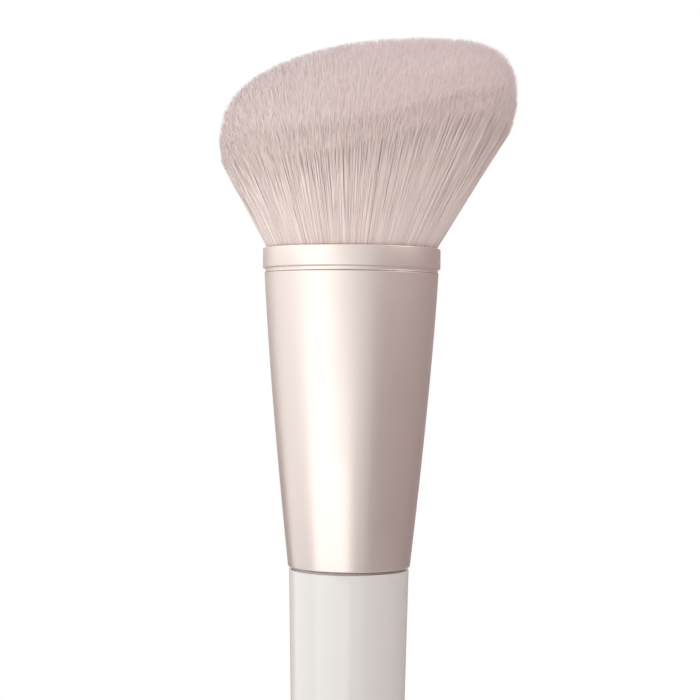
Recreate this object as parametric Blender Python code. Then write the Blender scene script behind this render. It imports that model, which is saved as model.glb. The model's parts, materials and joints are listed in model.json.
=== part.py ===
"""Blush brush: a turned wooden handle, a drawn metal ferrule and a slanted, domed tuft of filaments.

The origin is the centre of the handle's flat butt. +Z runs up the handle to the hair, +X is the high
side of the slanted tuft, and the tuft is a little flatter along Y.
"""

import math
import random

import bmesh
import bpy

MM = 0.001

# Driving dimensions
HANDLE_BODY_LENGTH = 104.0 * MM
FERRULE_LENGTH = 36.4 * MM
TUFT_HEIGHT = 24.3 * MM
FERRULE_MOUTH_DIAMETER = 20.2 * MM
FERRULE_END_DIAMETER = 14.0 * MM
HANDLE_BUTT_DIAMETER = 11.4 * MM

# Clearance between pieces that touch, and the distance under which points are one
FIT_GAP = 0.3 * MM
WELD = 0.001 * MM

# Ferrule: a tube that narrows slowly at first, with a rolled lip and a fine groove under it
FERRULE_WALL = 0.3 * MM
FERRULE_TAPER_POWER = 1.3
LIP_HEIGHT = 2.3 * MM
LIP_PROUD = 0.1 * MM
LIP_GROOVE_HEIGHT = 0.5 * MM
LIP_GROOVE_DEPTH = 0.12 * MM
RIM_ROUNDING = 0.12 * MM
FERRULE_STEPS = 9

# Handle: the body narrows fast under the ferrule and then more slowly, to a rounded flat butt
HANDLE_STEP = 0.12 * MM
SHOULDER_ROUNDING = 0.15 * MM
BUTT_ROUNDING = 1.2 * MM
HANDLE_TAPER_POWER = 2.0
HANDLE_STEPS = 9
TENON_LENGTH = 13.0 * MM
TENON_CHAMFER = 0.6 * MM
GLUE_RING_WALL = 1.6 * MM
GLUE_RING_HEIGHT = 4.2 * MM
GLUE_RING_DROP = 2.4 * MM

# Roots of the tuft: the epoxy, and the thread round the root, which draws the tuft in
GLUE_PLUG_THICKNESS = 4.7 * MM
GLUE_SLICE_THICKNESS = 1.0 * MM
BINDING_THREAD_DIAMETER = 0.9 * MM
BINDING_TURNS = 3
BINDING_RISE = 0.5 * MM

# Tuft: rings of strands that fan out of the mouth, as rise over run, wider across than deep
STRAND_RINGS = 9
SPREAD_ACROSS_SHARE = 0.58
SPREAD_DEEP_SHARE = 0.33
LEAN_SHARE = 0.035
STRAND_SEED = 11
GRID_JITTER_SHARE = 0.2
GRID_TWIST_SHARE = 0.45
LENGTH_JITTER_SHARE = 0.02

# How much of its cell a strand fills at the mouth and at its shoulder, and where the shoulder lies
MOUTH_FILL_SHARE = 0.84
SHOULDER_FILL_SHARE = 0.7
SHOULDER_HEIGHT_SHARE = 0.87

# The crown's shape: where its high point lies across, and how far it falls from there
CROWN_HIGH_SHARE = 0.33
LOW_SIDE_FALL_SHARE = 0.43
LOW_SIDE_POWER = 2.2
HIGH_SIDE_FALL_SHARE = 0.27
HIGH_SIDE_POWER = 3.0
DEEP_FALL_SHARE = 0.38
DEEP_POWER = 2.0
EDGE_FALL_SHARE = 0.16
EDGE_POWER = 7.0

# Finishes: colour, roughness and metallic value
FINISHES = {
    "lacquered_wood": ((0.78, 0.76, 0.73), 0.22, 0.0),
    "wood_glue": ((0.80, 0.70, 0.45), 0.40, 0.0),
    "champagne_aluminium": ((0.72, 0.58, 0.52), 0.30, 1.0),
    "epoxy": ((0.75, 0.62, 0.38), 0.25, 0.0),
    "binding_thread": ((0.75, 0.72, 0.66), 0.90, 0.0),
    "filament": ((0.72, 0.60, 0.56), 0.60, 0.0),
}

# Places along the axis
SHOULDER_Z = HANDLE_BODY_LENGTH
FERRULE_END_Z = SHOULDER_Z + FIT_GAP
MOUTH_Z = FERRULE_END_Z + FERRULE_LENGTH
TENON_TOP_Z = SHOULDER_Z + TENON_LENGTH
GLUE_PLUG_Z = TENON_TOP_Z + FIT_GAP
GLUE_SLICE_Z = GLUE_PLUG_Z + GLUE_PLUG_THICKNESS + FIT_GAP
ROOT_Z = GLUE_SLICE_Z + GLUE_SLICE_THICKNESS
BINDING_LOW_Z = ROOT_Z + BINDING_RISE
BINDING_HIGH_Z = BINDING_LOW_Z + BINDING_TURNS * BINDING_THREAD_DIAMETER
GLUE_RING_HIGH_Z = TENON_TOP_Z - GLUE_RING_DROP
GLUE_RING_LOW_Z = GLUE_RING_HIGH_Z - GLUE_RING_HEIGHT

# The rings of strands have six sectors, and turned pieces have as many sides as the outer ring
SECTORS = 6
TURN_STEPS = SECTORS * STRAND_RINGS


def ferrule_radius(z):
    """The outside of the ferrule's wall at a height, lip apart."""
    down = (MOUTH_Z - z) / FERRULE_LENGTH
    mouth = FERRULE_MOUTH_DIAMETER / 2
    end = FERRULE_END_DIAMETER / 2
    return mouth + (end - mouth) * max(0, down) ** FERRULE_TAPER_POWER


def bore_radius(z):
    """The inside of the ferrule's wall at a height."""
    return ferrule_radius(z) - FERRULE_WALL


def handle_radius(z):
    """The handle's body at a height, widest at the shoulder."""
    butt = HANDLE_BUTT_DIAMETER / 2
    shoulder = FERRULE_END_DIAMETER / 2 - HANDLE_STEP
    return butt + (shoulder - butt) * (z / SHOULDER_Z) ** HANDLE_TAPER_POWER


def tenon_radius():
    """The straight tenon clears the ferrule's narrow end."""
    return bore_radius(FERRULE_END_Z) - FIT_GAP


def glue_groove_radius():
    """The floor of the tenon's groove, which leaves room for the glue under the ferrule's wall."""
    return bore_radius(GLUE_RING_LOW_Z) - FIT_GAP - GLUE_RING_WALL - FIT_GAP


def mouth_tuft_radius():
    """The tuft where it leaves the ferrule's mouth."""
    return bore_radius(MOUTH_Z) - FIT_GAP


def tied_tuft_radius():
    """The tuft at the top of its binding, which fits between it and the ferrule's wall."""
    return bore_radius(BINDING_LOW_Z) - FIT_GAP - BINDING_THREAD_DIAMETER - FIT_GAP


def root_tuft_radius():
    """The tuft at its root, so that it widens evenly from there past the binding to the mouth."""
    tied_share = (BINDING_HIGH_Z - ROOT_Z) / (MOUTH_Z - ROOT_Z)
    return (tied_tuft_radius() - mouth_tuft_radius() * tied_share) / (1 - tied_share)


def between(low, high, steps):
    """Evenly spaced places from low to high, both included."""
    return [low + (high - low) * i / steps for i in range(steps + 1)]


def corner(radius, z, rounding, start, steps=2):
    """Points of a quarter circle about (radius, z), from the start angle in degrees, anticlockwise."""
    angles = [math.radians(start + 90 * i / steps) for i in range(steps + 1)]
    return [(radius + rounding * math.cos(a), z + rounding * math.sin(a)) for a in angles]


def material(name):
    """The Principled material of a finish."""
    colour, roughness, metallic = FINISHES[name]
    made = bpy.data.materials.new(name)
    made.use_nodes = True
    shader = made.node_tree.nodes["Principled BSDF"]
    shader.inputs["Base Color"].default_value = (*colour, 1.0)
    shader.inputs["Roughness"].default_value = roughness
    shader.inputs["Metallic"].default_value = metallic
    made.diffuse_color = (*colour, 1.0)
    return made


def add_object(name, bm, finish, sharp_degrees=35):
    """Puts a bmesh in the scene as a smooth-shaded object that keeps its sharp corners."""
    mesh = bpy.data.meshes.new(name)
    bm.to_mesh(mesh)
    bm.free()
    mesh.shade_smooth()
    mesh.set_sharp_from_angle(angle=math.radians(sharp_degrees))
    mesh.materials.append(finish)
    made = bpy.data.objects.new(name, mesh)
    bpy.context.scene.collection.objects.link(made)
    return made


def turned(name, outline, finish, closed=True):
    """Spins an outline of (radius, z) points round the axis; an open one starts and ends on it."""
    bm = bmesh.new()
    verts = [bm.verts.new((r, 0, z)) for r, z in outline]
    ends = verts[1:] + verts[:1] if closed else verts[1:]
    edges = [bm.edges.new(pair) for pair in zip(verts, ends)]
    bmesh.ops.spin(
        bm,
        geom=verts + edges,
        axis=(0, 0, 1),
        angle=2 * math.pi,
        steps=TURN_STEPS,
        use_merge=True,
    )
    bmesh.ops.remove_doubles(bm, verts=bm.verts, dist=WELD)
    bmesh.ops.recalc_face_normals(bm, faces=bm.faces)
    return add_object(name, bm, finish)


def add_handle():
    """The lacquered wood: butt, body, shoulder, and the grooved tenon that goes into the ferrule."""
    shoulder = handle_radius(SHOULDER_Z)
    tenon = tenon_radius()
    groove = glue_groove_radius()
    groove_low = GLUE_RING_LOW_Z - FIT_GAP
    groove_high = GLUE_RING_HIGH_Z + FIT_GAP
    outline = [(0, 0)]
    outline += corner(HANDLE_BUTT_DIAMETER / 2 - BUTT_ROUNDING, BUTT_ROUNDING, BUTT_ROUNDING, -90, 4)
    body = between(BUTT_ROUNDING, SHOULDER_Z - SHOULDER_ROUNDING, HANDLE_STEPS)
    outline += [(handle_radius(z), z) for z in body[1:-1]]
    outline += corner(shoulder - SHOULDER_ROUNDING, SHOULDER_Z - SHOULDER_ROUNDING, SHOULDER_ROUNDING, 0)
    outline += [(tenon, SHOULDER_Z)]
    outline += [(tenon, groove_low), (groove, groove_low), (groove, groove_high), (tenon, groove_high)]
    outline += [(tenon, TENON_TOP_Z - TENON_CHAMFER), (tenon - TENON_CHAMFER, TENON_TOP_Z)]
    outline += [(0, TENON_TOP_Z)]
    return turned("handle", outline, material("lacquered_wood"), closed=False)


def add_handle_glue():
    """The ring of adhesive in the tenon's groove, which locks the tenon to the ferrule's wall."""
    inside = glue_groove_radius() + FIT_GAP
    low = GLUE_RING_LOW_Z
    high = GLUE_RING_HIGH_Z
    outline = [(inside, low), (bore_radius(low) - FIT_GAP, low)]
    outline += [(bore_radius(high) - FIT_GAP, high), (inside, high)]
    return turned("handle_glue", outline, material("wood_glue"))


def add_ferrule():
    """The drawn tube: lip band, groove, narrowing body and plain end, on a smooth bore."""
    lip = ferrule_radius(MOUTH_Z) + LIP_PROUD
    lip_low = MOUTH_Z - LIP_HEIGHT
    groove_low = lip_low - LIP_GROOVE_HEIGHT
    groove = ferrule_radius(lip_low) - LIP_GROOVE_DEPTH
    end = ferrule_radius(FERRULE_END_Z)
    mouth_bore = bore_radius(MOUTH_Z)
    outline = corner(mouth_bore + RIM_ROUNDING, MOUTH_Z - RIM_ROUNDING, RIM_ROUNDING, 90)[::-1]
    outline += corner(lip - RIM_ROUNDING, MOUTH_Z - RIM_ROUNDING, RIM_ROUNDING, 0)[::-1]
    outline += [(lip, lip_low + RIM_ROUNDING), (lip - LIP_PROUD, lip_low), (groove, lip_low - RIM_ROUNDING)]
    outline += [(groove, groove_low + RIM_ROUNDING)]
    body = between(groove_low, FERRULE_END_Z + RIM_ROUNDING, FERRULE_STEPS)
    outline += [(ferrule_radius(z), z) for z in body]
    outline += [(end - RIM_ROUNDING, FERRULE_END_Z), (end - FERRULE_WALL, FERRULE_END_Z)]
    inside = between(FERRULE_END_Z, MOUTH_Z - RIM_ROUNDING, FERRULE_STEPS - 2)
    outline += [(bore_radius(z), z) for z in inside[1:-1]]
    return turned("ferrule", outline, material("champagne_aluminium"))


def add_glue_plug():
    """The epoxy under the roots, cast against the ferrule's wall."""
    low = GLUE_PLUG_Z
    high = low + GLUE_PLUG_THICKNESS
    outline = [(0, low), (bore_radius(low) - FIT_GAP, low), (bore_radius(high) - FIT_GAP, high), (0, high)]
    return turned("glue_plug", outline, material("epoxy"), closed=False)


def add_tuft_binding():
    """The thread round the root: a band of turns that lie against each other."""
    thread = BINDING_THREAD_DIAMETER / 2
    inside = tied_tuft_radius() + FIT_GAP
    outline = [(inside, BINDING_HIGH_Z), (inside, BINDING_LOW_Z)]
    for turn in range(BINDING_TURNS):
        middle = BINDING_LOW_Z + BINDING_THREAD_DIAMETER * (turn + 0.5)
        for degrees in (-60, 0, 60):
            a = math.radians(degrees)
            outline.append((inside + thread * (1 + math.cos(a)), middle + thread * math.sin(a)))
    return turned("tuft_binding", outline, material("binding_thread"))


def strand_grid(shuffle):
    """Points of rings in a unit circle, nudged and turned on a little, and the triangles between them."""
    step = 1 / STRAND_RINGS
    twist = GRID_TWIST_SHARE * 2 * math.pi / TURN_STEPS
    points = [(0.0, 0.0)]
    first = [0]
    for ring in range(1, STRAND_RINGS + 1):
        first.append(len(points))
        nudge = step * GRID_JITTER_SHARE if ring < STRAND_RINGS else 0
        for i in range(SECTORS * ring):
            angle = 2 * math.pi * i / (SECTORS * ring) - twist * (STRAND_RINGS - ring)
            radius = ring * step + shuffle.uniform(-nudge, nudge)
            angle += shuffle.uniform(-nudge, nudge) / radius
            points.append((radius * math.cos(angle), radius * math.sin(angle)))
    cells = []
    for ring in range(1, STRAND_RINGS + 1):
        count_in = max(1, SECTORS * (ring - 1))
        for i in range(SECTORS * ring):
            sector, place = divmod(i, ring)
            below = sector * (ring - 1) + place
            inner = first[ring - 1] + below % count_in
            outer = first[ring] + i
            after = first[ring] + (i + 1) % (SECTORS * ring)
            cells.append((outer, after, inner))
            if place < ring - 1:
                beside = first[ring - 1] + (below + 1) % count_in
                cells.append((inner, after, beside))
    return points, cells, first[STRAND_RINGS]


def tip_rise(u, v):
    """How far above the mouth the crown lies, over the place (u, v) of the unit circle."""
    if u < CROWN_HIGH_SHARE:
        away = (CROWN_HIGH_SHARE - u) / (CROWN_HIGH_SHARE + 1)
        fall = LOW_SIDE_FALL_SHARE * away**LOW_SIDE_POWER
    else:
        away = (u - CROWN_HIGH_SHARE) / (1 - CROWN_HIGH_SHARE)
        fall = HIGH_SIDE_FALL_SHARE * away**HIGH_SIDE_POWER
    fall += DEEP_FALL_SHARE * abs(v) ** DEEP_POWER + EDGE_FALL_SHARE * math.hypot(u, v) ** EDGE_POWER
    return TUFT_HEIGHT * (1 - fall)


def fanned(u, v, rise):
    """The place (u, v) of the tuft's section, at a height above the mouth."""
    mouth = mouth_tuft_radius()
    across = u * (mouth + SPREAD_ACROSS_SHARE * rise) + LEAN_SHARE * rise
    deep = v * (mouth + SPREAD_DEEP_SHARE * rise)
    return across, deep, MOUTH_Z + rise


def add_strand_side(bm, low_a, low_b, high_a, high_b, forward):
    """Two triangles, split the same way on both strands that face each other, so that they can't cross."""
    if forward:
        bm.faces.new((low_a, low_b, high_b))
        bm.faces.new((low_a, high_b, high_a))
    else:
        bm.faces.new((low_a, low_b, high_a))
        bm.faces.new((low_b, high_b, high_a))


def add_bristles():
    """The tuft: three-sided strands on a shared grid of roots, bent at the mouth, with pointed tips."""
    shuffle = random.Random(STRAND_SEED)
    points, cells, rim_start = strand_grid(shuffle)
    root = root_tuft_radius()
    bm = bmesh.new()
    roots = [bm.verts.new((u * root, v * root, ROOT_Z)) for u, v in points]
    for cell in cells:
        corners = [points[i] for i in cell]
        u, v = (sum(c[axis] for c in corners) / 3 for axis in (0, 1))
        rise = tip_rise(u, v) * (1 - LENGTH_JITTER_SHARE * shuffle.random())

        def section(fill, height):
            return [
                bm.verts.new(fanned(u + (cu - u) * fill, v + (cv - v) * fill, height)) for cu, cv in corners
            ]

        levels = [[roots[i] for i in cell], section(MOUTH_FILL_SHARE, 0)]
        levels.append(section(SHOULDER_FILL_SHARE, rise * SHOULDER_HEIGHT_SHARE))
        tip = bm.verts.new(fanned(u, v, rise))
        for a, b in ((0, 1), (1, 2), (2, 0)):
            for low, high in zip(levels, levels[1:]):
                add_strand_side(bm, low[a], low[b], high[a], high[b], cell[a] < cell[b])
            bm.faces.new((levels[-1][a], levels[-1][b], tip))
    add_glue_slice(bm, roots[rim_start:])
    bmesh.ops.recalc_face_normals(bm, faces=bm.faces)
    return add_object("bristles", bm, material("filament"))


def add_glue_slice(bm, rim):
    """Closes the roots with a slice of the epoxy that they are cast in, out to the ferrule's wall."""
    loops = [rim]
    for z in (ROOT_Z, GLUE_SLICE_Z):
        radius = bore_radius(z) - FIT_GAP
        angles = [2 * math.pi * i / len(rim) for i in range(len(rim))]
        loops.append([bm.verts.new((radius * math.cos(a), radius * math.sin(a), z)) for a in angles])
    for inner, outer in zip(loops, loops[1:]):
        for i in range(len(rim)):
            j = (i + 1) % len(rim)
            bm.faces.new((inner[i], outer[i], outer[j], inner[j]))
    bm.faces.new(loops[-1])


def main():
    for old in list(bpy.data.objects):
        bpy.data.objects.remove(old, do_unlink=True)
    add_handle()
    add_handle_glue()
    add_ferrule()
    add_glue_plug()
    add_tuft_binding()
    add_bristles()


main()
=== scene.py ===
"""Blush brush, dressed: a lacquered handle, a satin ferrule and a slanted tuft of fine tapered filaments."""

import json
import math

import bpy
import numpy as np
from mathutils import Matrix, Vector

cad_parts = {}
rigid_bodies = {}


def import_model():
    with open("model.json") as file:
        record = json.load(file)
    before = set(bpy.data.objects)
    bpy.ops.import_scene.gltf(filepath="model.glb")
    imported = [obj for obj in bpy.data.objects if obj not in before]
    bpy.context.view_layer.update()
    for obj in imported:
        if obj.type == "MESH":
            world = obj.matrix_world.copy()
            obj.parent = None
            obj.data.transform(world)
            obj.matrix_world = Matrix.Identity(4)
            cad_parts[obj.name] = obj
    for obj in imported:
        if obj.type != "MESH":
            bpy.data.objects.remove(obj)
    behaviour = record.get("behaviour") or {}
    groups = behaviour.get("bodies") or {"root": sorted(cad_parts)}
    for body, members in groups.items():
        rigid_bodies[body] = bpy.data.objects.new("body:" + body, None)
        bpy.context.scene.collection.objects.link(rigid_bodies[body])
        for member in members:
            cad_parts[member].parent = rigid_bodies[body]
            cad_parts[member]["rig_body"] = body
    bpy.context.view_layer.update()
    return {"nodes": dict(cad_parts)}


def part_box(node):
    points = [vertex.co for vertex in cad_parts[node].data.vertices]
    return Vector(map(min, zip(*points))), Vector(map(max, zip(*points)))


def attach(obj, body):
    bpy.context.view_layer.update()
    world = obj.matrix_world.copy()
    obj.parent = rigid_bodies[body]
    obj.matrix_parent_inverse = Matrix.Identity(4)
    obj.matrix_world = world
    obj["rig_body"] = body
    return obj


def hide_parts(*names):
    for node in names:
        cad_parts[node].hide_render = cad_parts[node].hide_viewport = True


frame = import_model()

# Handle
# A beech rod turned to a slim taper with a flat butt, then dipped in off-white lacquer up to its shoulder.
# Above the shoulder the bare tenon, with a groove for the glue, goes up into the ferrule.
MM = 0.001
TURNED_SIDES = 144
ROUNDING_STEPS = 6
SHARP_DEGREES = 40
FINISH_MAP = "OFBake"
HANDLE_BUTT_DIAMETER = 11.4 * MM
HANDLE_TAPER_POWER = 2.0
HANDLE_STEPS = 64
BUTT_ROUNDING = 1.2 * MM
SHOULDER_ROUNDING = 0.15 * MM
SHOULDER_GAP = 0.3 * MM
TENON_DIAMETER = 12.8 * MM
TENON_CHAMFER = 0.6 * MM
GLUE_GROOVE_DIAMETER = 10.3 * MM
GLUE_GROOVE_ROOM = 0.3 * MM

handle_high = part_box("handle")[1]
ferrule_low, ferrule_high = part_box("ferrule")
glue_low, glue_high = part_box("handle_glue")
shoulder_z = ferrule_low.z - SHOULDER_GAP


def quarter(radius, z, rounding, start):
    """Points of a quarter circle about (radius, z), from the start angle in degrees, anticlockwise."""
    angles = [math.radians(start + 90 * i / ROUNDING_STEPS) for i in range(ROUNDING_STEPS + 1)]
    return [(radius + rounding * math.cos(a), z + rounding * math.sin(a)) for a in angles]


def add_object(name, data):
    """Puts a mesh, a light or a camera into the scene."""
    made = bpy.data.objects.new(name, data)
    bpy.context.scene.collection.objects.link(made)
    return made


def turned(name, outline, closed=False):
    """Turns an outline of (radius, z) points round the axis, and maps its finish by turn and outline."""
    ends = outline[1:] + outline[:1] if closed else outline[1:]
    run = [0.0]
    for (r, z), (next_r, next_z) in zip(outline, ends):
        run.append(run[-1] + math.hypot(next_r - r, next_z - z))
    verts = []
    first = []
    for r, z in outline:
        first.append(len(verts))
        around = TURNED_SIDES if r > 0 else 1
        turns = [2 * math.pi * i / TURNED_SIDES for i in range(around)]
        verts += [(r * math.cos(a), r * math.sin(a), z) for a in turns]
    faces = []
    places = []
    for low in range(len(ends)):
        high = (low + 1) % len(outline)
        for i in range(TURNED_SIDES):
            four = (low, i, low), (low, i + 1, low), (high, i + 1, low + 1), (high, i, low + 1)
            corners = {}
            for level, turn, along in four:
                on_axis = outline[level][0] == 0
                vert = first[level] + (0 if on_axis else turn % TURNED_SIDES)
                place = (i + 0.5 if on_axis else turn) / TURNED_SIDES, run[along] / run[-1]
                corners.setdefault(vert, place)
            faces.append(list(corners))
            places += corners.values()
    mesh = bpy.data.meshes.new(name)
    mesh.from_pydata(verts, [], faces)
    mesh.uv_layers.new(name=FINISH_MAP).data.foreach_set("uv", np.array(places).ravel())
    mesh.shade_smooth()
    mesh.set_sharp_from_angle(angle=math.radians(SHARP_DEGREES))
    return add_object(name, mesh)


def handle_radius(z):
    """The handle's body at a height, widest at the shoulder."""
    butt = HANDLE_BUTT_DIAMETER / 2
    return butt + (handle_high.x - butt) * (z / shoulder_z) ** HANDLE_TAPER_POWER


def handle_outline():
    """From the butt's centre up the body, over the shoulder and up the grooved tenon to its top."""
    butt = HANDLE_BUTT_DIAMETER / 2
    tenon = TENON_DIAMETER / 2
    groove = GLUE_GROOVE_DIAMETER / 2
    top = handle_high.z
    low = BUTT_ROUNDING
    high = shoulder_z - SHOULDER_ROUNDING
    groove_low = glue_low.z - GLUE_GROOVE_ROOM
    groove_high = glue_high.z + GLUE_GROOVE_ROOM
    outline = [(0, 0)]
    outline += quarter(butt - BUTT_ROUNDING, low, BUTT_ROUNDING, -90)
    body = [low + (high - low) * i / HANDLE_STEPS for i in range(1, HANDLE_STEPS)]
    outline += [(handle_radius(z), z) for z in body]
    outline += quarter(handle_radius(shoulder_z) - SHOULDER_ROUNDING, high, SHOULDER_ROUNDING, 0)
    outline += [(tenon, shoulder_z), (tenon, groove_low), (groove, groove_low), (groove, groove_high)]
    outline += [(tenon, groove_high), (tenon, top - TENON_CHAMFER), (tenon - TENON_CHAMFER, top), (0, top)]
    return outline


class Shade:
    """A value that changes over a finish. Its operators add the Math nodes that work it out."""

    def __init__(self, socket):
        self.socket = socket

    @staticmethod
    def math(operation, *values, clamp=False):
        """Adds a Math node, fed with shades and plain numbers."""
        tree = next(value.socket.id_data for value in values if isinstance(value, Shade))
        return Finish(tree).node("Math", {"operation": operation, "use_clamp": clamp}, values)

    def __add__(self, other):
        return Shade.math("ADD", self, other)

    def __sub__(self, other):
        return Shade.math("SUBTRACT", self, other)

    def __rsub__(self, other):
        return Shade.math("SUBTRACT", other, self)

    def __mul__(self, other):
        return Shade.math("MULTIPLY", self, other)

    def __truediv__(self, other):
        return Shade.math("DIVIDE", self, other)

    def __rtruediv__(self, other):
        return Shade.math("DIVIDE", other, self)

    __radd__ = __add__
    __rmul__ = __mul__

    def above(self, edge, soft):
        """A mask that goes from 0 to 1 as the value passes an edge, over a soft width."""
        return Shade.math("ADD", (self - edge) / soft, 0.5, clamp=True)

    def below(self, edge, soft):
        """A mask that goes from 1 to 0 as the value passes an edge, over a soft width."""
        return 1 - self.above(edge, soft)


class Finish:
    """The nodes of a material or of the world, which are put together from shades and plain values."""

    def __init__(self, tree):
        self.tree = tree

    def feed(self, socket, value):
        """Links a shade to a socket, or sets the socket to a plain value."""
        if isinstance(value, Shade):
            self.tree.links.new(value.socket, socket)
        elif isinstance(value, tuple) and len(value) < len(socket.default_value):
            socket.default_value = (*value, 1.0)
        else:
            socket.default_value = value

    def node(self, kind, settings=None, inputs=(), output=None):
        """Adds a node: its settings first, then its inputs, by name or in order. Gives one output."""
        made = self.tree.nodes.new("ShaderNode" + kind)
        for name, value in (settings or {}).items():
            setattr(made, name, value)
        sockets = [socket for socket in made.inputs if socket.enabled]
        if isinstance(inputs, dict):
            sockets = [next(socket for socket in sockets if socket.name == name) for name in inputs]
            inputs = inputs.values()
        for socket, value in zip(sockets, inputs):
            self.feed(socket, value)
        return Shade(next(s for s in made.outputs if s.enabled and output in (None, s.name)))

    def paint(self, **sockets):
        """Feeds sockets of the Principled shader, whose names have _ for a space."""
        shader = self.tree.nodes["Principled BSDF"]
        for name, value in sockets.items():
            self.feed(shader.inputs[name.replace("_", " ")], value)

    def blend(self, share, low, high):
        """The colour low where the share is 0, and high where it is 1."""
        return self.node("Mix", {"data_type": "RGBA"}, {"Factor": share, "A": low, "B": high})

    def place(self):
        """Where a point of the piece is, in millimetres."""
        position = self.node("TexCoord", output="Object")
        return self.node("VectorMath", {"operation": "SCALE"}, {"Vector": position, "Scale": 1 / MM})

    def part_of(self, vector, axis):
        """One of a vector's three numbers, X, Y or Z."""
        return self.node("SeparateXYZ", inputs={"Vector": vector}, output=axis)

    def noise(self, place, per_mm, detail=2.0):
        """Soft noise about 0.5, with so many lumps a millimetre along X, Y and Z."""
        scaled = self.node("VectorMath", {"operation": "MULTIPLY"}, (place, per_mm))
        return self.node("TexNoise", inputs={"Vector": scaled, "Scale": 1.0, "Detail": detail}, output="Fac")

    def bump(self, height, depth):
        """A normal pushed in and out by a height from 0 to 1, over a depth in metres."""
        return self.node("Bump", inputs={"Height": height, "Distance": depth, "Strength": 1.0})


def surface(name, **sockets):
    """A material with a Principled shader, and the Finish that holds its nodes."""
    material = bpy.data.materials.new(name)
    material.use_nodes = True
    finish = Finish(material.node_tree)
    finish.paint(**sockets)
    return material, finish


def dress(piece, material):
    """Gives a piece its material, and lets it ride on the brush's one body."""
    piece.data.materials.clear()
    piece.data.materials.append(material)
    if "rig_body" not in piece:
        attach(piece, "root")


LACQUER_COLOUR = (0.75, 0.73, 0.705)
LACQUER_WARM_COLOUR = (0.725, 0.695, 0.665)
LACQUER_ROUGHNESS = 0.16
LACQUER_COAT = 0.6
LACQUER_COAT_ROUGHNESS = 0.1
LACQUER_RELIEF = 0.006 * MM
LACQUER_EDGE_BLUR = 0.05 * MM
SCUFF_HEIGHT = 1.1 * MM
SCUFF_BLUR = 1.6 * MM
BEECH_COLOUR = (0.62, 0.45, 0.30)
BEECH_DARK_COLOUR = (0.47, 0.31, 0.19)


def lacquered_wood():
    """Off-white lacquer with faint grain, orange peel and a scuffed butt. The tenon above is bare beech."""
    material, finish = surface("lacquered_wood", Coat_Roughness=LACQUER_COAT_ROUGHNESS)
    place = finish.place()
    height = finish.part_of(place, "Z")
    bare = height.above((shoulder_z + SHOULDER_GAP / 3) / MM, LACQUER_EDGE_BLUR / MM)
    clouds = finish.noise(place, per_mm=(0.09, 0.09, 0.03))
    grain = finish.noise(place, per_mm=(1.9, 1.9, 0.05))
    peel = finish.noise(place, per_mm=(1.1, 1.1, 0.9), detail=1.0)
    smudges = finish.noise(place, per_mm=(0.35, 0.35, 0.22), detail=5.0)
    scuffs = finish.noise(place, per_mm=(1.6, 1.6, 1.6), detail=6.0)
    scuffs = scuffs * height.below(SCUFF_HEIGHT / MM, SCUFF_BLUR / MM)
    warmth = clouds * 0.5 + grain * 0.3 + scuffs * 0.5
    lacquer = finish.blend(warmth, LACQUER_COLOUR, LACQUER_WARM_COLOUR)
    beech = finish.blend(grain.above(0.5, 0.5), BEECH_COLOUR, BEECH_DARK_COLOUR)
    finish.paint(Base_Color=finish.blend(bare, lacquer, beech))
    finish.paint(Roughness=LACQUER_ROUGHNESS + smudges * 0.1 + scuffs * 0.3 + bare * 0.4)
    finish.paint(Coat_Weight=LACQUER_COAT * (1 - bare))
    finish.paint(Normal=finish.bump(peel * 0.5 + grain * 0.3 + bare * grain, LACQUER_RELIEF))
    return material


handle = turned("lacquered_handle", handle_outline())
dress(handle, lacquered_wood())
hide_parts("handle")

# Adhesive in the tenon's groove
# Wood glue that was spread round the tenon and squeezed into its groove as the ferrule went on. It set there
# as a cloudy amber ring, and it keys the handle to the ferrule's wall.
WOOD_GLUE_COLOUR = (0.80, 0.70, 0.45)
WOOD_GLUE_DARK_COLOUR = (0.66, 0.52, 0.28)
WOOD_GLUE_ROUGHNESS = 0.3
WOOD_GLUE_RELIEF = 0.08 * MM
BUBBLE_BLUR_SHARE = 0.08


def bubbles(finish, place, per_mm, radius_share):
    """A mask of round bubbles, with so many cells a millimetre. Radius and blur are shares of a cell."""
    apart = finish.node("TexVoronoi", inputs={"Vector": place, "Scale": per_mm}, output="Distance")
    return apart.below(radius_share, BUBBLE_BLUR_SHARE)


def wood_glue():
    """Cured glue: amber and cloudy, with drag marks from the squeeze and small bubbles."""
    material, finish = surface("wood_glue")
    place = finish.place()
    clouds = finish.noise(place, per_mm=(0.8, 0.8, 1.6), detail=4.0)
    pocked = bubbles(finish, place, per_mm=1.8, radius_share=0.16)
    finish.paint(Base_Color=finish.blend(clouds, WOOD_GLUE_COLOUR, WOOD_GLUE_DARK_COLOUR))
    finish.paint(Roughness=WOOD_GLUE_ROUGHNESS + clouds * 0.2)
    finish.paint(Normal=finish.bump(clouds - pocked * 0.5, WOOD_GLUE_RELIEF))
    return material


dress(frame["nodes"]["handle_glue"], wood_glue())

# Ferrule
# A seamless aluminium tube, drawn to a taper and anodised a satin champagne. Its mouth is rolled into a lip
# band with a fine groove under it, and its narrow end butts on the handle's shoulder.
FERRULE_WALL = 0.3 * MM
FERRULE_END_DIAMETER = 14.0 * MM
FERRULE_TAPER_POWER = 1.3
FERRULE_STEPS = 40
LIP_HEIGHT = 2.3 * MM
LIP_PROUD = 0.1 * MM
LIP_GROOVE_HEIGHT = 0.5 * MM
LIP_GROOVE_DEPTH = 0.12 * MM
RIM_ROUNDING = 0.12 * MM

mouth_z = ferrule_high.z


def ferrule_radius(z):
    """The outside of the ferrule's wall at a height, lip apart."""
    down = max(0, (mouth_z - z) / (mouth_z - ferrule_low.z))
    mouth = ferrule_high.x - LIP_PROUD
    return mouth + (FERRULE_END_DIAMETER / 2 - mouth) * down**FERRULE_TAPER_POWER


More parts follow.
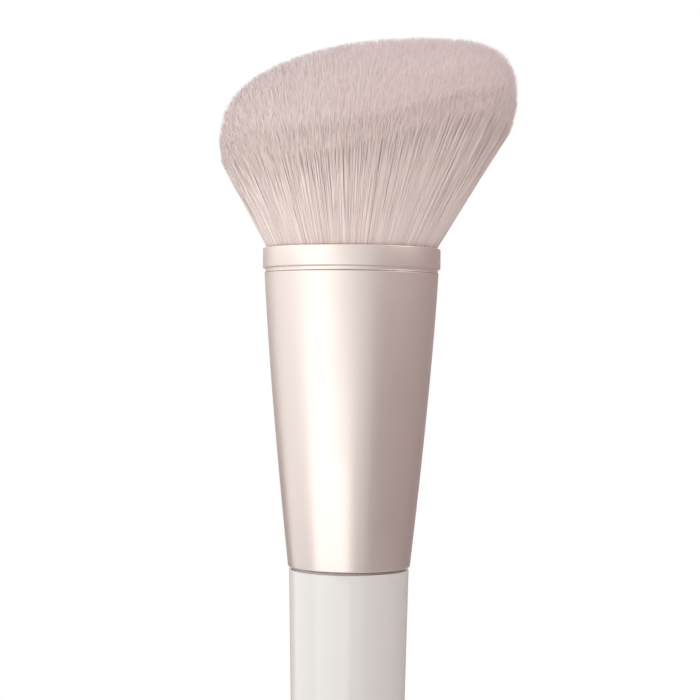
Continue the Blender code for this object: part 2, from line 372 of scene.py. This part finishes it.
def ferrule_outline():
    """From the mouth's rim down the outside, round the narrow end and up the bore."""
    rim = RIM_ROUNDING
    lip = ferrule_high.x
    lip_low = mouth_z - LIP_HEIGHT
    groove = ferrule_radius(lip_low) - LIP_GROOVE_DEPTH
    groove_low = lip_low - LIP_GROOVE_HEIGHT
    bore = ferrule_radius(mouth_z) - FERRULE_WALL
    low = ferrule_low.z + rim
    high = groove_low - 2 * rim
    outline = quarter(bore + rim, mouth_z - rim, rim, 90)[::-1]
    outline += quarter(lip - rim, mouth_z - rim, rim, 0)[::-1]
    outline += quarter(lip - LIP_PROUD, lip_low + LIP_PROUD, LIP_PROUD, -90)[::-1]
    outline += quarter(groove + rim, lip_low - rim, rim, 90)[:-1]
    outline += quarter(groove + rim, groove_low + rim, rim, 180)
    outline += quarter(ferrule_radius(groove_low) - rim, groove_low - rim, rim, 0)[::-1]
    outline += [(ferrule_radius(z), z) for z in np.linspace(high, low, FERRULE_STEPS).tolist()]
    outline += quarter(ferrule_radius(low) - rim, low, rim, 270)[-2::-1]
    inside = np.linspace(ferrule_low.z, mouth_z - rim, FERRULE_STEPS).tolist()
    outline += [(ferrule_radius(z) - FERRULE_WALL, z) for z in inside[:-1]]
    return outline


CHAMPAGNE_COLOUR = (0.70, 0.62, 0.577)
CHAMPAGNE_PALE_COLOUR = (0.765, 0.69, 0.648)
CHAMPAGNE_ROUGHNESS = 0.22
CHAMPAGNE_ROUGHER_AT_MOUTH = 0.19
CHAMPAGNE_RELIEF = 0.003 * MM
LIP_EDGE_BLUR = 0.1 * MM
RUBBED_RIM_BLUR = 0.15 * MM


def champagne_aluminium():
    """Anodised satin metal: fine draw lines down it, lathe lines round the lip, and a rubbed rim."""
    material, finish = surface("champagne_aluminium", Metallic=1.0)
    place = finish.place()
    height = finish.part_of(place, "Z")
    draw_lines = finish.noise(place, per_mm=(2.2, 2.2, 0.06), detail=1.5)
    lathe_lines = finish.noise(place, per_mm=(0.1, 0.1, 3.5), detail=1.5)
    pits = finish.noise(place, per_mm=(2.8, 2.8, 2.8), detail=1.0)
    smudges = finish.noise(place, per_mm=(0.25, 0.25, 0.18), detail=5.0)
    lip = height.above((mouth_z - LIP_HEIGHT) / MM, LIP_EDGE_BLUR / MM)
    rim = height.above((mouth_z - RIM_ROUNDING) / MM, RUBBED_RIM_BLUR / MM)
    lines = draw_lines * (1 - lip) + lathe_lines * lip
    pale = lines * 0.35 + rim * smudges.above(0.4, 0.3) * 0.5
    up = (height - ferrule_low.z / MM) / ((mouth_z - ferrule_low.z) / MM)
    rough = CHAMPAGNE_ROUGHNESS + up * CHAMPAGNE_ROUGHER_AT_MOUTH + smudges * 0.08 + lines * 0.06
    finish.paint(Base_Color=finish.blend(pale, CHAMPAGNE_COLOUR, CHAMPAGNE_PALE_COLOUR))
    finish.paint(Roughness=rough)
    finish.paint(Normal=finish.bump(lines * 0.6 + pits * 0.4, CHAMPAGNE_RELIEF))
    return material


ferrule = turned("satin_ferrule", ferrule_outline(), closed=True)
dress(ferrule, champagne_aluminium())
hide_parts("ferrule")

# Epoxy plug
# Two-part epoxy that is poured into the ferrule from below, over the cut roots. It sets against the wall as
# a clear amber disc and holds the whole tuft.
EPOXY_COLOUR = (0.75, 0.62, 0.38)
EPOXY_DARK_COLOUR = (0.55, 0.40, 0.20)
EPOXY_ROUGHNESS = 0.12
EPOXY_RELIEF = 0.1 * MM


def epoxy(name):
    """Cast epoxy: amber, glossy and slightly streaked, with trapped bubbles."""
    material, finish = surface(name)
    place = finish.place()
    streaks = finish.noise(place, per_mm=(0.5, 0.5, 0.5), detail=3.0)
    pocked = bubbles(finish, place, per_mm=1.1, radius_share=0.2)
    finish.paint(Base_Color=finish.blend(streaks, EPOXY_COLOUR, EPOXY_DARK_COLOUR))
    finish.paint(Roughness=EPOXY_ROUGHNESS + streaks * 0.12)
    finish.paint(Normal=finish.bump(streaks * 0.3 - pocked, EPOXY_RELIEF))
    return material


dress(frame["nodes"]["glue_plug"], epoxy("epoxy"))

# Binding
# Waxed cotton thread, wound three times round the filaments just above their roots and pulled tight, to hold
# them as one bundle while the epoxy sets.
THREAD_COLOUR = (0.78, 0.75, 0.69)
# The darker thread colour is painted shade in the hollows between the plies, and partly the fuzz's random tone
THREAD_SHADE_AND_FUZZ_COLOUR = (0.52, 0.48, 0.41)
THREAD_ROUGHNESS = 0.75
THREAD_RELIEF = 0.08 * MM
THREAD_TWISTS_PER_TURN = 90
THREAD_TWISTS_PER_MM = 2.2


def binding_thread():
    """Twisted cotton: slanted plies round each turn, with a fine fuzz, and painted shade in the hollows
    between plies.
    """
    material, finish = surface("binding_thread")
    place = finish.place()
    turn = Shade.math("ARCTAN2", finish.part_of(place, "Y"), finish.part_of(place, "X"))
    climb = finish.part_of(place, "Z") * (2 * math.pi * THREAD_TWISTS_PER_MM)
    ply_relief_and_shade = Shade.math("SINE", turn * THREAD_TWISTS_PER_TURN + climb) * 0.5 + 0.5
    fuzz = finish.noise(place, per_mm=(6.0, 6.0, 6.0), detail=4.0)
    # Painted shade: the colour darkens where the plies' relief is low, between them; the fuzz adds a random
    # tone
    finish.paint(Base_Color=finish.blend(ply_relief_and_shade * 0.6 + fuzz * 0.4, THREAD_SHADE_AND_FUZZ_COLOUR, THREAD_COLOUR))
    finish.paint(Roughness=THREAD_ROUGHNESS + fuzz * 0.2)
    finish.paint(Normal=finish.bump(ply_relief_and_shade + fuzz * 0.3, THREAD_RELIEF))
    return material


dress(frame["nodes"]["tuft_binding"], binding_thread())

# Tuft
# Some sixty thousand tapered synthetic filaments, cupped in a mould to a slanted dome. They stand in a slice
# of the epoxy, pass through the binding as one packed bundle, and fan out of the ferrule's mouth.
TUFT_HEIGHT = 24.2 * MM
MOUTH_CLEARANCE = 0.1 * MM
SPREAD_ACROSS_SHARE = 0.57
SPREAD_DEEP_SHARE = 0.33
LEAN_SHARE = 0.035
ROOT_DIAMETER = 13.2 * MM
SLICE_THICKNESS = 1.0 * MM
SLICE_GAP = 0.3 * MM
BINDING_TURNS = 3
BINDING_GAP = 0.3 * MM
STRAND_THICKNESS = 0.085 * MM

# The crown: where its high point lies across, and how far it falls towards each side
CROWN_HIGH_SHARE = 0.33
LOW_SIDE_FALL_SHARE = 0.44
LOW_SIDE_POWER = 2.2
HIGH_SIDE_FALL_SHARE = 0.27
HIGH_SIDE_POWER = 3.0
DEEP_FALL_SHARE = 0.38
DEEP_POWER = 2.0
EDGE_FALL_SHARE = 0.16
EDGE_POWER = 7.0

tuft_low, tuft_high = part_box("bristles")
binding_low, binding_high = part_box("tuft_binding")
root_z = tuft_low.z + SLICE_THICKNESS


def tip_rise(u, v):
    """How far above the mouth the tips end, over the place (u, v) of the tuft's unit circle."""
    low = np.clip((CROWN_HIGH_SHARE - u) / (CROWN_HIGH_SHARE + 1), 0, None)
    high = np.clip((u - CROWN_HIGH_SHARE) / (1 - CROWN_HIGH_SHARE), 0, None)
    fall = LOW_SIDE_FALL_SHARE * low**LOW_SIDE_POWER + HIGH_SIDE_FALL_SHARE * high**HIGH_SIDE_POWER
    fall += DEEP_FALL_SHARE * np.abs(v) ** DEEP_POWER + EDGE_FALL_SHARE * np.hypot(u, v) ** EDGE_POWER
    return TUFT_HEIGHT * (1 - fall)


def fanned(u, v, rise):
    """Where the place (u, v) of the tuft's section comes to, at a height above the mouth."""
    mouth = ferrule_radius(mouth_z) - FERRULE_WALL - MOUTH_CLEARANCE
    across = u * (mouth + SPREAD_ACROSS_SHARE * rise) + LEAN_SHARE * rise
    deep = v * (mouth + SPREAD_DEEP_SHARE * rise)
    return np.stack([across, deep, mouth_z + rise], axis=-1)


def held(u, v):
    """The same place in the epoxy and in the binding, as two points below the mouth."""
    thread = (binding_high.z - binding_low.z) / BINDING_TURNS
    tied = binding_high.x - thread - BINDING_GAP - STRAND_THICKNESS
    points = [
        (ROOT_DIAMETER / 2, root_z - SLICE_THICKNESS / 2),
        (tied, (binding_low.z + binding_high.z) / 2),
    ]
    return np.stack([np.stack([u * r, v * r, 0 * u + z], axis=-1) for r, z in points], axis=-2)


# The middle of the tuft is packed into one body, just under the tips
PACKED_SHARE = 0.97
PACKED_DEPTH = 1.0 * MM
PACKED_SIDE_STEPS = 24
PACKED_CROWN_STEPS = 24


def packed_middle():
    """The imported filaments: from the epoxy through the binding, fanned out and domed just under the tips."""
    turns = np.arange(TURNED_SIDES) * (2 * math.pi / TURNED_SIDES)
    rim_u = PACKED_SHARE * np.cos(turns)
    rim_v = PACKED_SHARE * np.sin(turns)
    rows = list(held(rim_u, rim_v).swapaxes(0, 1))
    for i in range(PACKED_SIDE_STEPS):
        rows.append(fanned(rim_u, rim_v, (tip_rise(rim_u, rim_v) - PACKED_DEPTH) * i / PACKED_SIDE_STEPS))
    for i in range(PACKED_CROWN_STEPS):
        inward = 1 - i / PACKED_CROWN_STEPS
        u, v = rim_u * inward, rim_v * inward
        rows.append(fanned(u, v, tip_rise(u, v) - PACKED_DEPTH))
    centre = np.zeros(1)
    rows.append(fanned(centre, centre, tip_rise(centre, centre) - PACKED_DEPTH))
    faces = [list(range(TURNED_SIDES))[::-1]]
    last = (len(rows) - 2) * TURNED_SIDES
    for low in range(0, last, TURNED_SIDES):
        high = low + TURNED_SIDES
        faces += [(low + i - 1, low + i, high + i, high + i - 1) for i in range(1, TURNED_SIDES)]
        faces.append((high - 1, low, high, high + TURNED_SIDES - 1))
    top = last + TURNED_SIDES
    faces += [(last + i, last + (i + 1) % TURNED_SIDES, top) for i in range(TURNED_SIDES)]
    mesh = bpy.data.meshes.new("packed_filaments")
    mesh.from_pydata(np.concatenate(rows), [], faces)
    mesh.shade_smooth()
    return add_object("packed_filaments", mesh)


FILAMENT_DARK_COLOUR = (0.89, 0.73, 0.68)
FILAMENT_COLOUR = (0.94, 0.79, 0.74)
FILAMENT_PALE_COLOUR = (0.97, 0.87, 0.825)
FILAMENT_TIP_COLOUR = (0.95, 0.785, 0.815)
FILAMENT_ROUGHNESS = 0.5
FILAMENT_SHEEN = 0.3
PACKED_RELIEF = 0.05 * MM


def packed_filament():
    """Filaments side by side: fine streaks from the roots to the tips."""
    material, finish = surface("packed_filament", Sheen_Weight=FILAMENT_SHEEN)
    streaks = finish.noise(finish.place(), per_mm=(3.0, 3.0, 0.12))
    finish.paint(Base_Color=finish.blend(streaks, FILAMENT_DARK_COLOUR, FILAMENT_PALE_COLOUR))
    finish.paint(Roughness=FILAMENT_ROUGHNESS + streaks * 0.2)
    finish.paint(Normal=finish.bump(streaks, PACKED_RELIEF))
    return material


packed = packed_middle()
dress(packed, packed_filament())
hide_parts("bristles")

# The filaments that show are strands of their own, which gather into small locks
STRAND_SEED = 23
STRAND_SIDES = 3
STRAND_JITTER = 0.35
STRAND_LEAN = 0.13 * MM
STRAND_LENGTH_SHARE = 0.045
STRAND_TURN_SPREAD = 0.2
TONE_SPREAD = 0.07
WAVE = 0.05 * MM
WAVE_PACE = (5, 9)
LOCKS = 800
LOCK_JITTER = 0.3
LOCK_PULL_SHARE = 0.12
LOCK_PULL_POWER = 1.5
LOCK_LEAN = 0.03 * MM
LOCK_LENGTH_SHARE = 0.003
LOCK_LENGTH_SPREADS = (-2, 0.5)
LOCK_TONE_SPREAD = 0.03

shuffle = np.random.default_rng(STRAND_SEED)


def spread(count, jitter, inner=0.0, outer=1.0):
    """Places (u, v) spread evenly over a ring of the unit circle on a spiral, each nudged a little."""
    order = (np.arange(count) + 0.5) / count
    radius = np.sqrt(inner**2 + (outer**2 - inner**2) * order)
    turn = np.arange(count) * math.pi * (3 - math.sqrt(5))
    nudge = shuffle.normal(0, jitter / math.sqrt(count), (2, count))
    u = radius * np.cos(turn) + nudge[0]
    v = radius * np.sin(turn) + nudge[1]
    over = np.maximum(1, np.hypot(u, v))
    return u / over, v / over


def leans(usual, count):
    """How far some tips lean across and deep, none of them more than twice the usual."""
    return shuffle.normal(0, usual, (count, 2)).clip(-2 * usual, 2 * usual)


lock_u, lock_v = spread(LOCKS, LOCK_JITTER)
lock_length = LOCK_LENGTH_SHARE * shuffle.normal(0, 1, LOCKS).clip(*LOCK_LENGTH_SPREADS)
lock_lean = leans(LOCK_LEAN, LOCKS)
lock_tone = 0.5 + LOCK_TONE_SPREAD * shuffle.normal(0, 1, LOCKS)


def strand_lines(u, v, lock, shares):
    """The centre line of each strand over the mouth, at some shares of its length."""
    count = len(u)
    length = 1 - STRAND_LENGTH_SHARE * shuffle.random(count) ** 2 + lock_length[lock]
    share = shares[None, :, None]
    up = (tip_rise(u, v) * length)[:, None] * shares
    own = fanned(u[:, None], v[:, None], up)
    lock_line = fanned(lock_u[lock][:, None], lock_v[lock][:, None], up)
    lines = own + (lock_line - own) * LOCK_PULL_SHARE * share**LOCK_PULL_POWER
    lean = lock_lean[lock] + leans(STRAND_LEAN, count)
    phase = shuffle.uniform(0, 2 * math.pi, (count, 1, 2))
    pace = shuffle.uniform(*WAVE_PACE, (count, 1, 2))
    wave = WAVE * np.sin(phase + pace * share) * share
    lines[:, :, :2] += lean[:, None] * share**2 + wave
    return lines


SLOPE_STEP = 0.01
RIM_START = 0.7
TIP_START = 0.4
NEARLY_NOTHING = 1e-9


def facing(u, v, shares):
    """Which way the tuft faces along each strand: sideways at the rim, and out of the crown at the tips."""
    rise = tip_rise(u, v)
    here = fanned(u, v, rise)
    across = fanned(u + SLOPE_STEP, v, tip_rise(u + SLOPE_STEP, v)) - here
    deep = fanned(u, v + SLOPE_STEP, tip_rise(u, v + SLOPE_STEP)) - here
    around = fanned(-v, u, rise) - fanned(0 * u, 0 * v, rise)
    along = here - fanned(u, v, 0 * rise)
    crown = np.cross(across, deep)
    crown /= np.linalg.norm(crown, axis=1, keepdims=True)
    side = np.cross(around, along)
    side /= np.linalg.norm(side, axis=1, keepdims=True) + NEARLY_NOTHING
    rim = ((np.hypot(u, v) - RIM_START) / (1 - RIM_START)).clip(0, 1)[:, None, None]
    tip = ((shares - TIP_START) / (1 - TIP_START)).clip(0, 1)[None, :, None]
    at_side = rim * (1 - tip)
    out = crown[:, None] * (1 - at_side) + side[:, None] * at_side
    return out / np.linalg.norm(out, axis=2, keepdims=True)


def strand_rings(lines, thickness, turn):
    """The strands' points, in rings about their lines, and which way each point lies from its line."""
    along = np.gradient(lines, axis=1)
    along /= np.linalg.norm(along, axis=2, keepdims=True)
    side = np.cross(along, (0.0, 1.0, 0.0))
    side /= np.linalg.norm(side, axis=2, keepdims=True)
    other = np.cross(along, side)
    angles = turn[:, None] + np.arange(STRAND_SIDES) * (2 * math.pi / STRAND_SIDES)
    out = np.cos(angles)[:, None, :, None] * side[:, :, None]
    out += np.sin(angles)[:, None, :, None] * other[:, :, None]
    return lines[:, :, None] + out * (STRAND_THICKNESS / 2 * thickness)[None, :, None, None], out


def strand_faces(count, levels):
    """The faces of some strands: four-sided ones up their sides, then a cap at each end."""
    ring = np.arange(STRAND_SIDES)
    after = (ring + 1) % STRAND_SIDES
    low = np.arange(levels - 1)[:, None] * STRAND_SIDES
    high = low + STRAND_SIDES
    start = np.arange(count) * levels * STRAND_SIDES
    sides = np.stack([low + ring, low + after, high + after, high + ring], axis=-1)
    sides = (start[:, None, None, None] + sides).reshape(-1, 4)
    caps = np.stack([ring[::-1], (levels - 1) * STRAND_SIDES + ring])
    caps = (start[:, None, None] + caps).reshape(-1, STRAND_SIDES)
    return sides.tolist() + caps.tolist()


# The filaments' map has a column for each tone across, and height up
TONES = 64
MAP_MARGIN = 0.1
CAP_CORNERS = np.array([(0.1, 0.0), (0.9, 0.0), (0.5, 0.01)])


def strand_map(lines, tone):
    """Where the corners of the strands' faces lie on the filaments' map, by tone and height."""
    count, levels = lines.shape[:2]
    column = (tone * TONES).astype(int).clip(0, TONES - 1) / TONES
    height = (lines[:, :, 2] - root_z) / (tuft_high.z - root_z)
    left = (np.arange(STRAND_SIDES) + MAP_MARGIN) / STRAND_SIDES / TONES * (1 - MAP_MARGIN)
    sides = np.empty((count, levels - 1, STRAND_SIDES, 4, 2))
    sides[..., (0, 3), 0] = (column[:, None, None] + left)[..., None]
    sides[..., (1, 2), 0] = sides[..., (0, 3), 0] + (1 - MAP_MARGIN) / STRAND_SIDES / TONES
    sides[..., (0, 1), 1] = height[:, :-1, None, None]
    sides[..., (2, 3), 1] = height[:, 1:, None, None]
    caps = np.empty((count, 2, STRAND_SIDES, 2))
    caps[..., 0] = column[:, None, None] + CAP_CORNERS[:, 0] / TONES
    caps[..., 1] = height[:, [0, -1], None] + CAP_CORNERS[:, 1]
    return np.concatenate([sides.ravel(), caps.ravel()]).clip(0, 1)


ROUND_SHARE = 0.55


def add_strands(name, lines, thickness, tone, outward):
    """One mesh of closed strands, a flat side of each outwards, shaded partly like the tuft as a whole."""
    count, levels = lines.shape[:2]
    turn = np.arctan2(outward[:, 0, 1], outward[:, 0, 0]) + shuffle.normal(0, STRAND_TURN_SPREAD, count)
    rings, out = strand_rings(lines, thickness, turn)
    normals = out * ROUND_SHARE + outward[:, :, None] * (1 - ROUND_SHARE)
    normals /= np.linalg.norm(normals, axis=3, keepdims=True)
    mesh = bpy.data.meshes.new(name)
    mesh.from_pydata(rings.reshape(-1, 3), [], strand_faces(count, levels))
    mesh.uv_layers.new(name=FINISH_MAP).data.foreach_set("uv", strand_map(lines, tone))
    mesh.shade_smooth()
    mesh.normals_split_custom_set_from_vertices(normals.reshape(-1, 3))
    return add_object(name, mesh)


def filament():
    """Soft synthetic hair: each strand has its own tone, and turns a cooler pink towards its tip."""
    material, finish = surface("filament", Sheen_Weight=FILAMENT_SHEEN)
    spot = finish.node("UVMap", {"uv_map": FINISH_MAP}, output="UV")
    tone = finish.part_of(spot, "X")
    height = finish.part_of(spot, "Y")
    dark = finish.blend(tone.above(0.25, 0.5), FILAMENT_DARK_COLOUR, FILAMENT_COLOUR)
    mixed = finish.blend(tone.above(0.75, 0.5), dark, FILAMENT_PALE_COLOUR)
    finish.paint(Base_Color=finish.blend(height.above(0.85, 0.4) * 0.6, mixed, FILAMENT_TIP_COLOUR))
    finish.paint(Roughness=FILAMENT_ROUGHNESS + tone * 0.15)
    return material


filament_finish = filament()


def add_layer(name, u, v, shares, thickness, rooted):
    """Strands at the places (u, v), each in its nearest lock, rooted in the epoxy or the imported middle."""
    lock = ((u[:, None] - lock_u) ** 2 + (v[:, None] - lock_v) ** 2).argmin(axis=1)
    lines = strand_lines(u, v, lock, shares)
    if rooted:
        lines = np.concatenate([held(u, v), lines], axis=1)
        shares = np.concatenate([[0, 0], shares])
    tone = lock_tone[lock] + TONE_SPREAD * shuffle.normal(0, 1, len(u))
    layer = add_strands(name, lines, thickness, tone, facing(u, v, shares))
    dress(layer, filament_finish)
    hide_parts("bristles")


def add_layers(name, layers, places, shares, thickness, rooted):
    """Splits the strands at some places (u, v) into layers, each a mesh of its own."""
    u, v = places
    for i in range(layers):
        some = slice(i * len(u) // layers, (i + 1) * len(u) // layers)
        add_layer(f"{name}_{i + 1}", u[some], v[some], shares, thickness, rooted)


# The side's strands run from the epoxy to their tips. The crown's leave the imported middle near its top.
SIDE_STRANDS = 16000
SIDE_START = 0.91
SIDE_LAYERS = 6
SIDE_SHARES = np.array([0.0, 0.18, 0.4, 0.62, 0.8, 0.92, 1.0])
SIDE_THICKNESS = np.array([0.8, 0.8, 0.9, 1.0, 1.0, 1.0, 0.85, 0.6, 0.25])
CROWN_STRANDS = 42000
CROWN_END = 0.94
CROWN_LAYERS = 5
CROWN_SHARES = np.array([0.78, 0.88, 0.95, 1.0])
CROWN_THICKNESS = np.array([1.0, 0.9, 0.65, 0.25])

side_places = spread(SIDE_STRANDS, STRAND_JITTER, inner=SIDE_START)
add_layers("side_strands", SIDE_LAYERS, side_places, SIDE_SHARES, SIDE_THICKNESS, rooted=True)
crown_places = spread(CROWN_STRANDS, STRAND_JITTER, outer=CROWN_END)
add_layers("crown_strands", CROWN_LAYERS, crown_places, CROWN_SHARES, CROWN_THICKNESS, rooted=False)

slice_low = ferrule_radius(tuft_low.z) - (FERRULE_WALL + SLICE_GAP)
slice_high = ferrule_radius(root_z) - (FERRULE_WALL + SLICE_GAP)
slice_outline = [(0, tuft_low.z), (slice_low, tuft_low.z), (slice_high, root_z), (0, root_z)]
root_slice = turned("root_slice", slice_outline)
dress(root_slice, epoxy("root_epoxy"))
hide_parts("bristles")

# Studio
# The brush stands on its butt on a pale floor that fades to white. Soft boxes light it from the left and
# from low in front, a small lamp high on the right lights the hair, and tinted cards shade its other sides.
CAMERA_DISTANCE = 207 * MM
CAMERA_HEIGHT = 129.1 * MM
CAMERA_SIDE = -0.1 * MM
CAMERA_NEAREST = 10 * MM
CAMERA_ROLL_DEGREES = 0.53
FRAME_WIDTH = 80.5 * MM
SENSOR_WIDTH = 36.0

scene = bpy.context.scene
scene.view_settings.view_transform = "Standard"
lens = bpy.data.cameras.new("camera")
lens.sensor_width = SENSOR_WIDTH
lens.lens = SENSOR_WIDTH * CAMERA_DISTANCE / FRAME_WIDTH
lens.clip_start = CAMERA_NEAREST
camera = add_object("camera", lens)
camera.location = (CAMERA_SIDE, -CAMERA_DISTANCE, CAMERA_HEIGHT)
camera.rotation_mode = "XYZ"
camera.rotation_euler = (math.radians(90), math.radians(-CAMERA_ROLL_DEGREES), 0)
scene.camera = camera

WORLD_LEVEL = 0.65


def studio_world():
    """Pale all round as light, and plain white where the camera or a glossy or clear surface looks at it."""
    world = bpy.data.worlds.new("studio")
    world.use_nodes = True
    scene.world = world
    finish = Finish(world.node_tree)
    seen = finish.node("LightPath", output="Is Camera Ray")
    mirrored = finish.node("LightPath", output="Is Glossy Ray")
    through = finish.node("LightPath", output="Is Transmission Ray")
    white = Shade.math("MAXIMUM", Shade.math("MAXIMUM", seen, mirrored), through)
    background = world.node_tree.nodes["Background"]
    finish.feed(background.inputs["Color"], (1, 1, 1))
    finish.feed(background.inputs["Strength"], WORLD_LEVEL + white * (1 - WORLD_LEVEL))


studio_world()

# Side angles go round the brush: 0 is towards the camera, and angles below 0 are on its left
SOFT_BOX_DISTANCE = 260 * MM
HAIR_LIGHT_SIZE = 130 * MM
HAIR_LIGHT_PLACE = (225 * MM, -65 * MM, 290 * MM)
HAIR_LIGHT_AIM = (13.9, 59, 0)
HAIR_LIGHT_RADIANCE = 3.5


def add_light(name, width, height, radiance, location, rotation):
    """A rectangular light that the camera doesn't see."""
    light = bpy.data.lights.new(name, "AREA")
    light.shape = "RECTANGLE"
    light.size = width
    light.size_y = height
    light.energy = radiance * math.pi * width * height
    made = add_object(name, light)
    made.location = location
    made.rotation_euler = rotation
    made.visible_camera = False


def add_soft_box(name, degrees, heights, radiance):
    """A standing light that faces the brush, from one side angle to another and over some heights."""
    turn = math.radians((degrees[0] + degrees[1]) / 2)
    half = math.radians((degrees[1] - degrees[0]) / 2)
    middle = (heights[0] + heights[1]) / 2
    location = (SOFT_BOX_DISTANCE * math.sin(turn), -SOFT_BOX_DISTANCE * math.cos(turn), middle)
    width = 2 * SOFT_BOX_DISTANCE * math.tan(half)
    add_light(name, width, heights[1] - heights[0], radiance, location, (math.radians(90), 0, turn))


add_soft_box("key", degrees=(-66, -23), heights=(0, 350 * MM), radiance=1.07)
add_soft_box("low_key", degrees=(-23, 2), heights=(0, 85 * MM), radiance=1.2)
add_soft_box("side", degrees=(-125, -66), heights=(0, 320 * MM), radiance=0.25)
add_soft_box("high_side", degrees=(-130, -70), heights=(190 * MM, 390 * MM), radiance=0.65)
hair_aim = [math.radians(angle) for angle in HAIR_LIGHT_AIM]
add_light("hair_light", HAIR_LIGHT_SIZE, HAIR_LIGHT_SIZE, HAIR_LIGHT_RADIANCE, HAIR_LIGHT_PLACE, hair_aim)

FLOOR_COLOUR = (0.9, 0.9, 0.9)
FLOOR_RADIUS = 420 * MM
FLOOR_FADE_START = 90 * MM
FLOOR_FADE_END = 280 * MM
CARD_RADIUS = 300 * MM
CARD_HEIGHT = 420 * MM
CARD_STEPS = 24
STAGE_ROUGHNESS = 0.9


def stage_piece(name, verts, faces, colour):
    """A plain matt piece of the stage, in one colour."""
    mesh = bpy.data.meshes.new(name)
    mesh.from_pydata(verts, [], faces)
    made = add_object(name, mesh)
    material, finish = surface(name, Base_Color=colour, Roughness=STAGE_ROUGHNESS)
    mesh.materials.append(material)
    return made, finish


def add_floor():
    """A round floor, matt and pale round the brush, that fades to white before its edge."""
    turns = [2 * math.pi * i / TURNED_SIDES for i in range(TURNED_SIDES)]
    verts = [(FLOOR_RADIUS * math.cos(a), FLOOR_RADIUS * math.sin(a), 0) for a in turns]
    finish = stage_piece("floor", verts, [list(range(TURNED_SIDES))], FLOOR_COLOUR)[1]
    nodes = finish.tree.nodes
    away = finish.node("VectorMath", {"operation": "LENGTH"}, {"Vector": finish.place()}, "Value")
    middle = (FLOOR_FADE_START + FLOOR_FADE_END) / 2
    fade = away.above(middle / MM, (FLOOR_FADE_END - FLOOR_FADE_START) / MM)
    seen = finish.node("LightPath", output="Is Camera Ray")
    matt = Shade(nodes["Principled BSDF"].outputs["BSDF"])
    white = finish.node("Emission", inputs={"Color": (1.0, 1.0, 1.0), "Strength": 1.0})
    mixed = finish.node("MixShader", inputs=(fade * seen, matt, white))
    finish.feed(nodes["Material Output"].inputs["Surface"], mixed)


def add_card(name, degrees, colour):
    """A curved card that stands round the brush between two side angles. The camera doesn't see it."""
    step = (degrees[1] - degrees[0]) / CARD_STEPS
    turns = [math.radians(degrees[0] + step * i) for i in range(CARD_STEPS + 1)]
    foot = [(CARD_RADIUS * math.sin(a), -CARD_RADIUS * math.cos(a), 0) for a in turns]
    verts = foot + [(x, y, CARD_HEIGHT) for x, y, z in foot]
    above = CARD_STEPS + 1
    faces = [(i, i + 1, above + i + 1, above + i) for i in range(CARD_STEPS)]
    card = stage_piece(name, verts, faces, colour)[0]
    card.visible_camera = False


add_floor()
add_card("right_card", degrees=(29, 115), colour=(0.65, 0.563, 0.56))
add_card("back_card", degrees=(115, 176), colour=(0.55, 0.48, 0.48))
add_card("left_card", degrees=(-176, -130), colour=(0.66, 0.57, 0.55))
